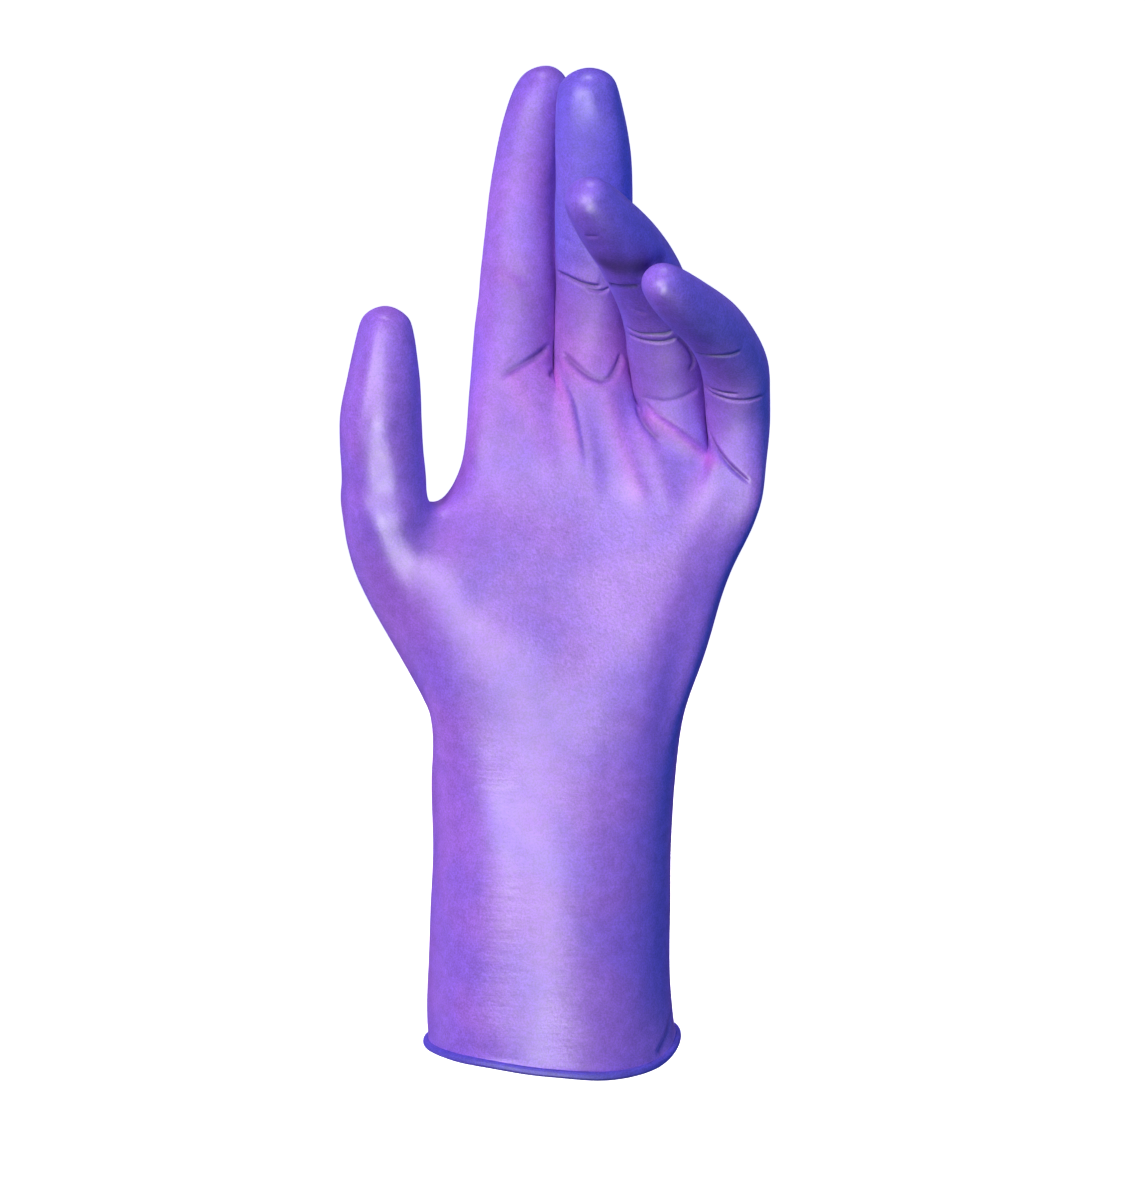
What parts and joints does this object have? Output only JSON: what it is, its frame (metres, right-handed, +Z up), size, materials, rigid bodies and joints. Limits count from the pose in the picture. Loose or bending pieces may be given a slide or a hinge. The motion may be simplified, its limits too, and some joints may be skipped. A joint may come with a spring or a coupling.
{
  "type": "disposable glove",
  "caption": "Thin seamless hollow glove with fingers, a long tube cuff and a rolled bead round its opening, holding the form of a raised hand.",
  "frame": {"origin": "centre of the cuff's opening, where the wrist goes in", "axes": "+Z up the arm and along the fingers, -Y out of the palm, thumb on the -X side"},
  "size_m": [0.1127, 0.0852, 0.2654],
  "materials": {
    "film": "satin purple nitrile rubber film"
  },
  "bodies": {
    "root": {"glove": "film"}
  },
  "joints": []
}
